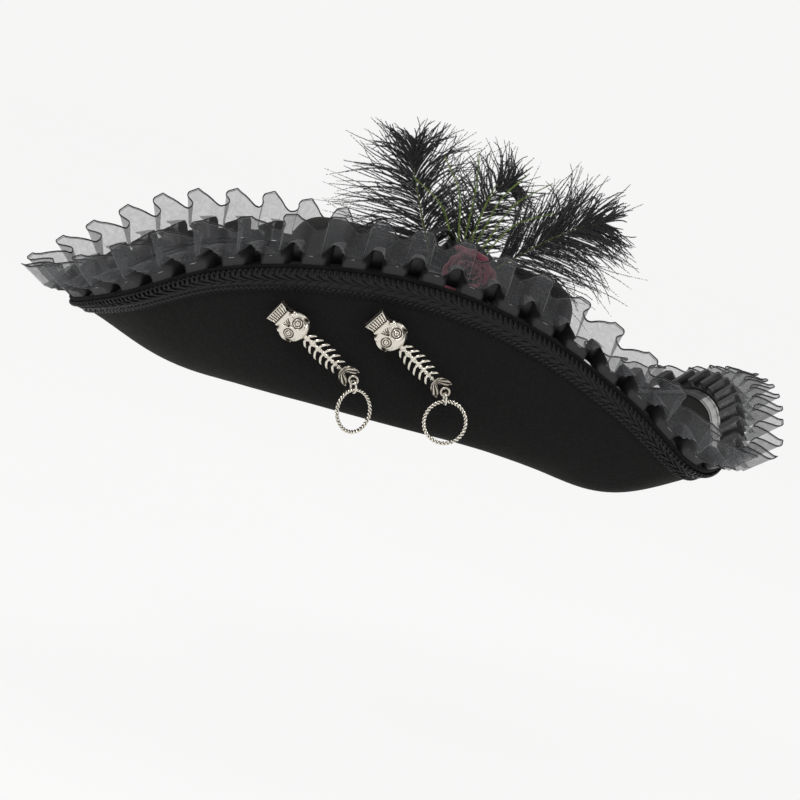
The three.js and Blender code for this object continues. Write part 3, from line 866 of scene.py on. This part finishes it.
def ribbon_loop(center, radius, width):
    """A loop of the rosette's ribbon, standing up beside the rose."""
    turn, across = np.meshgrid(np.linspace(-0.9, pi + 0.9, 60), np.linspace(-0.5, 0.5, 9))
    bow = 1 + 0.1 * np.cos(pi * across) + 0.03 * np.sin(5 * turn)
    sides = []
    for thick in (0.2 * MM, -0.2 * MM):
        reach = radius * bow + thick
        spot = np.stack([width * across, reach * np.cos(turn), reach * np.sin(turn)], -1)
        sides.append(center + spot)
    return shell(*sides), sheet_uv(turn * radius, across * width)


geometry, uv = ribbon_loop(np.array([72, -17, 115]) * MM, 7.5 * MM, 14 * MM)
piece("rosette_ribbon_loop", geometry, SATIN_LOOK, uv=uv)
pad = piece("cockade_pad_felt", cockade_pad(), FELT_LOOK, replaces=["cockade_pad"])
geometry, uv, rosette_points = rosette(6 * MM, 24.5 * MM, 2.5 * MM, 30, 3.4 * MM)
rosette_piece = piece("pleated_rosette", geometry, SATIN_LOOK, replaces=["ribbon_rosette"],
                      uv=uv)
geometry, uv, rose_points = rolled_rose()
rose = piece("rolled_rose", geometry, ROSE_LOOK, replaces=["fabric_rose"], uv=uv)

# ---- ostrich plumes and herls -------------------------------------------------------------------


def through(points, shares):
    """Positions along a smooth open curve through a few points, at shares of its length."""
    points = np.asarray(points, float)
    padded = np.concatenate([[2 * points[0] - points[1]], points, [2 * points[-1] - points[-2]]])
    x = np.clip(np.asarray(shares, float), 0, 0.99999) * (len(points) - 1)
    i = np.floor(x).astype(int)
    corners = (padded[i + k] for k in range(4))
    return catmull_rom(*corners, (x - i)[..., None])[0]


def spikes(base, tip, width, side):
    """Thin closed four-faced needles from base to tip; side is any direction across them."""
    along = unit(tip - base)
    first = unit(side - (side * along).sum(-1, keepdims=True) * along)
    second = np.cross(along, first)
    corners = [base + width * first, base - width * (0.5 * first + 0.87 * second),
               base - width * (0.5 * first - 0.87 * second), tip]
    points = np.stack(corners, -2).reshape(-1, 3)
    one = np.array([[0, 1, 2], [0, 3, 1], [1, 3, 2], [2, 3, 0]])
    faces = (one[None] + 4 * np.arange(len(points) // 4)[:, None, None]).reshape(-1, 3)
    return points, faces


def barbed(barbs, spacing, length, width, lean, seed):
    """Short barbules on both sides of every barb; barbs is (count, steps, 3)."""
    chance = np.random.default_rng(seed)
    count, steps, _ = barbs.shape
    span = np.linalg.norm(np.diff(barbs, axis=1), axis=2).sum(1)
    per_barb = int(span.mean() / spacing)
    uneven = chance.uniform(-0.4, 0.4, (count, per_barb)) / per_barb
    share = np.linspace(0.02, 0.985, per_barb)[None, :] + uneven
    x = np.clip(share, 0, 0.999) * (steps - 1)
    i = np.floor(x).astype(int)
    f = (x - i)[..., None]
    rows = np.arange(count)[:, None]
    base = barbs[rows, i] * (1 - f) + barbs[rows, i + 1] * f
    along = unit(barbs[rows, i + 1] - barbs[rows, i])
    parts = []
    for hand in (-1, 1):
        tilt = chance.normal(0, 1, base.shape)
        across = unit(np.cross(along, tilt)) * 0.35 + unit(np.cross(along, [1.0, 0, 0])) * hand
        reach = length * (1 - 0.55 * share**2)[..., None] * chance.uniform(0.6, 1.25, share.shape)[..., None]
        tip = base + reach * unit(along * cos(lean) + unit(across) * sin(lean))
        parts.append(spikes(base, tip, width, tilt))
    return parts


PLUME_TOP = 188 * MM  # no barb reaches above this
FIRST_BARB = 0.03  # share of the quill that stays bare at its foot
BARB_STEPS = 10
BARBULES = dict(spacing=0.62 * MM, length=2.2 * MM, width=0.2 * MM, lean=radians(21))


def plume(quill, barb_count, reach, fan, splay, droop, curl, loose, seed):
    """An ostrich plume: barbs fan out on both sides of the quill and arch over.
    reach is the longest barb; fan is the angle from the quill at its foot and at its tip."""
    quill = np.array(quill) * MM
    chance = np.random.default_rng(seed)
    share = np.sort(chance.uniform(0, 1, barb_count)) ** 1.2 * (1 - FIRST_BARB) + FIRST_BARB
    hand = np.where(np.arange(barb_count) % 2, 1.0, -1.0)
    foot = through(quill, share)
    along = unit(through(quill, share + 0.02) - through(quill, share - 0.02))
    across = unit(np.cross([1.0, 0, 0], along)) * hand[:, None]
    angle = fan[0] + (fan[1] - fan[0]) * share**1.5 + chance.normal(0, loose, barb_count)
    outward = chance.normal(0, 0.3, barb_count)[:, None] * np.array([1.0, 0, 0])
    aim = unit(along * np.cos(angle)[:, None] + across * np.sin(angle)[:, None] + outward)
    length = reach * (1 - 0.7 * share**2) * chance.uniform(0.72, 1.04, barb_count)
    u = np.linspace(0, 1, BARB_STEPS)[None, :, None]
    bend = splay * across - droop * UP + curl * along + loose * chance.uniform(-1.4, 1.4, (barb_count, 3))
    hook = 1.4 * loose * chance.uniform(-1, 1, (barb_count, 3))
    wave = 0.035 * np.sin(u * 8 + chance.uniform(0, 6, barb_count)[:, None, None]) * along[:, None]
    reach_out = u * aim[:, None] + u**2 * bend[:, None] + u**5 * hook[:, None] + wave * u
    barbs = foot[:, None] + length[:, None, None] * reach_out
    room = (PLUME_TOP - foot[:, 2]) / np.maximum(barbs[:, :, 2].max(1) - foot[:, 2], 1e-6)
    barbs = foot[:, None] + (barbs - foot[:, None]) * np.minimum(room, 1)[:, None, None]
    taper = np.linspace(1, 0.3, BARB_STEPS)[None, :]
    vane = joined(tubes(barbs, 0.3 * MM * taper, 3), *barbed(barbs, seed=seed, **BARBULES))
    spine = through(quill, np.linspace(0, 0.98, 24))
    shaft = tubes(spine[None], np.linspace(0.8, 0.15, 24)[None] * MM, 7)
    return vane, shaft


# each quill's own points are in millimetres
PLUMES = {
    "plume_left": dict(
        quill=[[58, -19, 104], [55, -32, 130], [51, -42, 152], [47, -46, 166]], barb_count=250,
        reach=50 * MM, fan=(0.95, 0.1), splay=0.35, droop=0.1, curl=0.0, loose=0.19, seed=11),
    "plume_middle": dict(
        quill=[[50, 3, 104], [41, 10, 135], [32, 19, 157], [25, 30, 163]], barb_count=210,
        reach=38 * MM, fan=(0.85, 0.5), splay=0.25, droop=0.08, curl=0.05, loose=0.22, seed=12),
    "plume_right": dict(
        quill=[[60, 22, 104], [55, 48, 127], [47, 71, 144], [38, 92, 153]], barb_count=290,
        reach=60 * MM, fan=(0.66, 0.3), splay=0.12, droop=0.16, curl=0.08, loose=0.12, seed=13),
}
for name, shape in PLUMES.items():
    vane, shaft = plume(**shape)
    piece(f"{name}_vane", vane, OSTRICH_LOOK, replaces=[name], smooth=False)
    piece(f"{name}_quill", shaft, QUILL_LOOK)

# each herl's y and z where it leaves the rosette, its y and z at the tip, and its x, in millimetres
HERLS = [
    ((-10, 116), (-46, 150), 68),
    ((-6, 117), (-30, 168), 70),
    ((-2, 118), (-8, 176), 68),
    ((2, 118), (8, 160), 71),
    ((6, 117.5), (28, 172), 68),
    ((10, 116.5), (44, 170), 71),
    ((14, 115), (52, 152), 68),
]


def herl(foot, tip, x, seed):
    """A thin stem with short barbules along both sides."""
    (y0, z0), (y1, z1) = foot, tip
    bend = (x, y0 + 0.35 * (y1 - y0), z0 + 0.6 * (z1 - z0))
    root = (x - 4, 0.4 * y0, z0 - 14)
    steps = 30
    line = np.array([root, (x, y0, z0), bend, (x - 2, y1, z1)]) * MM
    stem = through(line, np.linspace(0, 1, steps))[None]
    taper = np.linspace(1, 0.45, steps)[None]
    barbules = barbed(stem, 0.35 * MM, 2.4 * MM, 0.1 * MM, radians(38), seed)
    return joined(tubes(stem, 0.55 * MM * taper, 5), *barbules)


for number, row in enumerate(HERLS, 1):
    piece(f"peacock_herl_{number}", herl(*row, seed=30 + number), HERL_LOOK, replaces=[f"herl_{number}"],
          smooth=False)

# ---- cast charms, in millimetres along their own axes: +X eyelet to teeth, +Z out of the felt ---


def ball(center, radii, detail=24):
    rows = detail // 2
    u, v = np.meshgrid(np.linspace(0, 2 * pi, detail, endpoint=False), np.linspace(0.05, pi - 0.05, rows))
    points = np.stack([np.cos(u) * np.sin(v), np.sin(u) * np.sin(v), np.cos(v)], -1).reshape(-1, 3)
    return points * radii + center, capped_grid(rows, detail, flip=-1)


def horn(path, radii, flat=1.0):
    """A tapered curved bar, flattened through its thickness."""
    steps = 14
    sides = 10
    shares = np.linspace(0, 1, steps)
    curve = through(path, shares)
    radius = np.interp(shares, np.linspace(0, 1, len(radii)), radii)
    points, faces = tubes(curve[None], radius[None], sides)
    center = np.repeat(curve, sides, 0)
    points[:, 2] = center[:, 2] + (points[:, 2] - center[:, 2]) * flat
    return points, faces


def wedge(start, end, wide, narrow, depth):
    """The jaw: a block that is `wide` at start and `narrow` at end."""
    corners = [(x, y, z) for x, w in ((start, wide), (end, narrow)) for y in (-w, w) for z in (-depth, depth)]
    faces = [[0, 1, 3, 2], [4, 6, 7, 5], [0, 4, 5, 1], [2, 3, 7, 6], [0, 2, 6, 4], [1, 5, 7, 3]]
    return np.array(corners, float), faces


EYELET = 2.7  # radius of the eyelet's middle line
EYE_X, EYE_Y = 50.0, 4.4
NOSE = (52.4, 52.6, 56.6)  # where the nose's two slits would meet, and their low and high ends
TOOTH = 1.5  # from one tooth to the next, at the jaw's narrow end
TEETH = (60.0, 65.3)


def charm_parts():
    """Skull, jaw, brow and nose, then the ribs and tail fins, the spine's beads, and the eyelet."""
    parts = [ball((49.8, 0, 0), (8.4, 10.0, 5.2)), ball((54.6, 0, 0), (5.6, 8.6, 4.6)),
             ball((46.2, 0, 0), (5.6, 8.8, 5.0)),
             wedge(56, 61.5, 6.4, 6.0, 3.9), wedge(61, 66, 6.0, 7.2, 3.4),
             horn([(47.6, -7.6, 2.6), (45.8, -4, 4.0), (47.2, 0, 4.4), (45.8, 4, 4.0), (47.6, 7.6, 2.6)],
                  (0.9, 1.2, 1.0, 1.2, 0.9)),
             horn([(50, 0, 4.6), (53.4, 0, 5.3), (56.4, 0, 4.2)], (0.8, 1.2, 1.0))]
    for hand in (-1, 1):
        parts.append(ball((55.2, 7.0 * hand, 1.6), (2.4, 2.2, 2.2)))
        parts.append(horn([(55, 7.8 * hand, 1.4), (50.5, 9.7 * hand, 1.4), (44.5, 8.8 * hand, 1.0)],
                          (1.2, 1.0, 0.6)))
        for rib in range(6):
            x = 15 + 4.7 * rib
            long = 5.3 + 1.7 * sin(pi * rib / 5)
            parts.append(horn([(x, 0, 0.2), (x + 0.6, 2.2 * hand, 0.9), (x - 0.4, 0.62 * long * hand, 0.9),
                               (x - 1.9, 0.88 * long * hand, 0.4), (x - 3.6, long * hand, -0.2)],
                              (1.0, 0.85, 0.95, 0.8, 0.3)))
        parts.append(horn([(10, 0, 0), (7.6, 3.4 * hand, 0.2), (3.6, 5.4 * hand, 0.2), (0.4, 6.4 * hand, 0)],
                          (0.9, 1.9, 1.5, 0.35), 0.55))
        parts.append(horn([(10, 0, 0), (7.0, 1.8 * hand, 0.2), (4.2, 3.4 * hand, 0.2), (1.6, 4.7 * hand, 0)],
                          (0.9, 1.3, 1.1, 0.5), 0.5))
    for bead in range(12):
        parts.append(ball((12.6 + 2.55 * bead, 0, 0.2), (1.15, 1.7, 1.55), 16))
    parts.append(horn([(9, 0, 0), (26, 0, 0), (43, 0, 0)], (1.1, 1.2, 1.3)))
    turn = np.linspace(0, 2 * pi, 33)[:-1]
    eyelet = EYELET * np.stack([np.cos(turn), np.sin(turn), np.zeros(32)], -1)
    parts.append(tubes(eyelet[None], 0.8, 12, closed=True))
    return parts


def carving(p):
    """How deep the cast face is cut at each point, in millimetres."""
    x, y = p[:, 0], p[:, 1]
    depth = np.zeros(len(p))
    for hand in (-1, 1):
        r = np.hypot(x - EYE_X, y - EYE_Y * hand)
        for ring, cut in ((3.1, 1.0), (1.75, 0.9), (0.0, 1.2)):
            depth += cut * np.exp(-(((r - ring) / 0.3) ** 2))
        for spread in (0.32, 0.95):
            nose = np.abs(y - hand * spread * (0.3 + 0.55 * (x - NOSE[0])))
            depth += np.exp(-((nose / 0.27) ** 2)) * (x > NOSE[1]) * (x < NOSE[2])
        temple = np.hypot((x - 47.2) / 2.0, (y - 9.0 * hand) / 1.1)
        depth += 1.2 * np.exp(-(temple**2))
        cheek = np.hypot((x - 57.6) / 0.8, (y - 6.6 * hand) / 1.6)
        depth += 1.2 * np.exp(-(cheek**2))
    flare = 1 + 0.055 * np.clip(x - 61, 0, 5)
    groove = np.abs((y / flare / TOOTH + 0.5) % 1 - 0.5) * TOOTH * flare
    teeth = (x > TEETH[0]) * (x < TEETH[1])
    depth += 1.1 * np.exp(-((groove / 0.27) ** 2)) * teeth
    depth += 0.8 * np.exp(-(((x - 60.1) / 0.35) ** 2)) + 0.5 * np.exp(-(((x - 65.2) / 0.25) ** 2))
    fan = np.arctan2(y, 11 - x)
    depth += 0.75 * (0.5 + 0.5 * np.cos(fan * 22)) * (x < 9.5) * (np.hypot(x, y) > 3.7)
    return depth


FLAT_BACK = -3.4


def charm_mesh():
    """The parts fused, smoothed like a casting, carved, and cut flat behind."""
    points, faces = joined(*charm_parts())
    data = bpy.data.meshes.new("charm_rough")
    data.from_pydata(points.tolist(), [], faces)
    rough = bpy.data.objects.new("charm_rough", data)
    bpy.context.scene.collection.objects.link(rough)
    fuse = rough.modifiers.new("fuse", "REMESH")
    fuse.mode = "VOXEL"
    fuse.voxel_size = 0.24
    soften = rough.modifiers.new("soften", "SMOOTH")
    soften.iterations = 3
    soften.factor = 0.5
    graph = bpy.context.evaluated_depsgraph_get()
    cast = bpy.data.meshes.new_from_object(rough.evaluated_get(graph))
    bpy.data.objects.remove(rough)
    at = np.empty(len(cast.vertices) * 3)
    cast.vertices.foreach_get("co", at)
    at = at.reshape(-1, 3)
    front = smooth_step((at[:, 2] - 0.1) / 0.8)
    depth = carving(at) * front
    at[:, 2] = np.maximum(at[:, 2] - depth, FLAT_BACK)
    polygons = [list(face.vertices) for face in cast.polygons]
    bpy.data.meshes.remove(cast)
    # Painted shade: the lower a point lies, towards the felt, the darker it is; the carved depth adds patina
    # in the recesses.
    low = np.clip((1.5 - at[:, 2]) / 2.6, 0, 1)
    return at * MM, polygons, np.clip(depth / 1.4, 0, 1) + 0.6 * low


# where each charm is: its share round the edge, its distance below it, and its turn from level
CHARMS = {"charm_1": (0.148, 42 * MM, radians(37)), "charm_2": (0.192, 38 * MM, radians(31))}


def panel_axes(t, below):
    """The outer face's own axes at one place: back along the edge, up the panel, out of the felt."""
    def face(dt, db):
        at = station(np.array([t + dt]))
        return felt_point(at, 1 - (below + db) / (3 * at.pull), np.array([FELT / 2]))[0]
    back = unit(face(0.01, 0) - face(-0.01, 0))
    out = unit(np.cross(back, face(0, -2 * MM) - face(0, 2 * MM)))
    return back, np.cross(out, back), out


def charm_matrix(name):
    t, below, tilt = CHARMS[name]
    back, up, out = panel_axes(t, below)
    forward = -back * cos(tilt) + up * sin(tilt)
    eyelet = next(j["pos_m"] for j in frame["joints"] if j["name"] == f"{name}_swing")
    basis = Matrix(np.stack([forward, np.cross(out, forward), out], 1).tolist()).to_4x4()
    return Matrix.Translation(Vector(eyelet)) @ basis


def charm_stitches():
    """Thread loops over the spine and the neck, down into the felt."""
    turn = np.linspace(-0.16 * pi, 1.16 * pi, 17)
    loops = []
    for x in (11.2, 13.9, 41.6, 43.0):
        y = 2.1 * np.cos(turn)
        z = np.where(np.sin(turn) > 0, 2.2 * np.sin(turn), 10.5 * np.sin(turn))
        loops.append(np.stack([x + 0.3 * np.sin(turn * 2), y, z], -1))
    return tubes(np.array(loops) * MM, 0.22 * MM, 6)


def give_patina_and_shade(thing, hollow):
    """Hands the silver its patina in the recesses and, on the charms, its painted shade, one value for each
    point.
    """
    thing.data.attributes.new("hollow", "FLOAT", "POINT").data.foreach_set("value", hollow)


charm_points, charm_faces, charm_patina_and_shade = charm_mesh()
for name in CHARMS:
    matrix = charm_matrix(name)
    casting = piece(f"{name}_casting", (moved(charm_points, matrix), charm_faces), SILVER_LOOK,
                    replaces=[f"{name}_fishbone"])
    give_patina_and_shade(casting, charm_patina_and_shade)
    points, faces = charm_stitches()
    piece(f"{name}_stitches", (moved(points, matrix), faces), THREAD_LOOK)

# ---- hanging rings ------------------------------------------------------------------------------


def ring_axes(node):
    """Middle, two axes in the plane, and the plane's normal of a CAD ring."""
    co = np.array([v.co for v in frame["nodes"][node].data.vertices])
    middle = np.unique(co.round(7), axis=0).mean(0)
    axes = np.linalg.svd(co - middle, full_matrices=False)[2]
    return middle, *axes


def round_ring(node, radius, wire):
    """A bent wire whose two ends meet at a fine slit."""
    middle, a, b, _ = ring_axes(node)
    turn = np.linspace(0.04, 2 * pi - 0.04, 60)[:, None]
    return tubes((middle + radius * (np.cos(turn) * a + np.sin(turn) * b))[None], wire, 12)


def twisted_ring(node, radius, wire):
    """Two wires twisted round each other and closed to a ring, and how deep each point lies."""
    middle, a, b, n = ring_axes(node)
    twists, sides = 18, 10
    turn = np.arange(twists * 20)[:, None] * 2 * pi / (twists * 20)
    outward = np.cos(turn) * a + np.sin(turn) * b
    core = middle + radius * outward
    strands = []
    for start in (0, pi):
        twist = twists * turn + start
        strands.append(core + 0.62 * wire * (np.cos(twist) * outward + np.sin(twist) * n))
    points, faces = tubes(np.array(strands), 0.58 * wire, sides, closed=True)
    around = np.tile(np.repeat(core, sides, 0), (2, 1))
    inside = 1 - np.linalg.norm(points - around, axis=1) / (1.2 * wire)
    return (points, faces), np.clip(1.9 * inside - 0.35, 0, 1)


for name in CHARMS:
    piece(f"{name}_split_ring", round_ring(f"{name}_jump_ring", 4 * MM, 0.65 * MM), SILVER_LOOK,
          body=f"{name}_link", replaces=[f"{name}_jump_ring"])
    geometry, hollow = twisted_ring(f"{name}_twist_ring", 13.4 * MM, 1.1 * MM)
    rope = piece(f"{name}_rope_ring", geometry, SILVER_LOOK,
                 body=f"{name}_ring", replaces=[f"{name}_twist_ring"])
    give_patina_and_shade(rope, hollow)

# ---- camera, light and floor --------------------------------------------------------------------

VIEW = SimpleNamespace(azimuth=radians(77), elevation=radians(6), roll=radians(16),
                       aim=Vector((0, 2 * MM, 2 * MM)), distance=1.768, lens=118.8)


def camera():
    a, e, roll = VIEW.azimuth, VIEW.elevation, VIEW.roll
    back = Vector((sin(a) * cos(e), -cos(a) * cos(e), sin(e)))
    right = Vector((cos(a), sin(a), 0))
    up = back.cross(right)
    x = right * cos(roll) + up * sin(roll)
    y = up * cos(roll) - right * sin(roll)
    data = bpy.data.cameras.new("camera")
    data.lens = VIEW.lens
    data.sensor_width = 36
    data.clip_end = 100
    thing = bpy.data.objects.new("camera", data)
    thing.matrix_world = Matrix.Translation(VIEW.aim + back * VIEW.distance) @ Matrix(
        (x, y, back)).transposed().to_4x4()
    bpy.context.scene.collection.objects.link(thing)
    bpy.context.scene.camera = thing


def area_light(name, at, size, power):
    data = bpy.data.lights.new(name, "AREA")
    data.shape = "DISK"
    data.size = size
    data.energy = power
    thing = bpy.data.objects.new(name, data)
    thing.location = at
    thing.rotation_euler = (-Vector(at)).to_track_quat("-Z", "Y").to_euler()
    bpy.context.scene.collection.objects.link(thing)


def studio():
    bpy.ops.mesh.primitive_circle_add(vertices=96, radius=12, fill_type="NGON", location=(0, 0, -0.22))
    floor = bpy.context.object
    floor.name = "floor"
    look = Look("pale_floor", (0.06, 0.06, 0.06), 1.0, Specular_IOR_Level=0.0, Emission_Strength=0.89)
    look.shader.inputs["Emission Color"].default_value = (1, 1, 0.995, 1)
    look.color(look.ramp(look.noise(0.4, 2.0), (0.3, (0.057, 0.057, 0.057)), (0.7, (0.063, 0.063, 0.063))))
    floor.data.materials.append(look.material)
    world = bpy.data.worlds.new("studio")
    world.use_nodes = True
    nodes, links = world.node_tree.nodes, world.node_tree.links
    background = nodes["Background"]
    background.inputs["Color"].default_value = (1, 1, 0.995, 1)
    seen = nodes.new("ShaderNodeMapRange")
    seen.inputs["To Min"].default_value = 0.42
    seen.inputs["To Max"].default_value = 0.92
    links.new(nodes.new("ShaderNodeLightPath").outputs["Is Camera Ray"], seen.inputs["Value"])
    links.new(seen.outputs["Result"], background.inputs["Strength"])
    bpy.context.scene.world = world
    bpy.context.scene.view_settings.view_transform = "Standard"
    bpy.context.scene.cycles.transparent_max_bounces = 48
    area_light("key", (1.1, -1.5, 1.7), 0.9, 26)
    area_light("fill", (1.7, 1.3, 0.6), 1.2, 8)
    area_light("top", (-0.5, 0.3, 2.0), 1.2, 14)


camera()
studio()
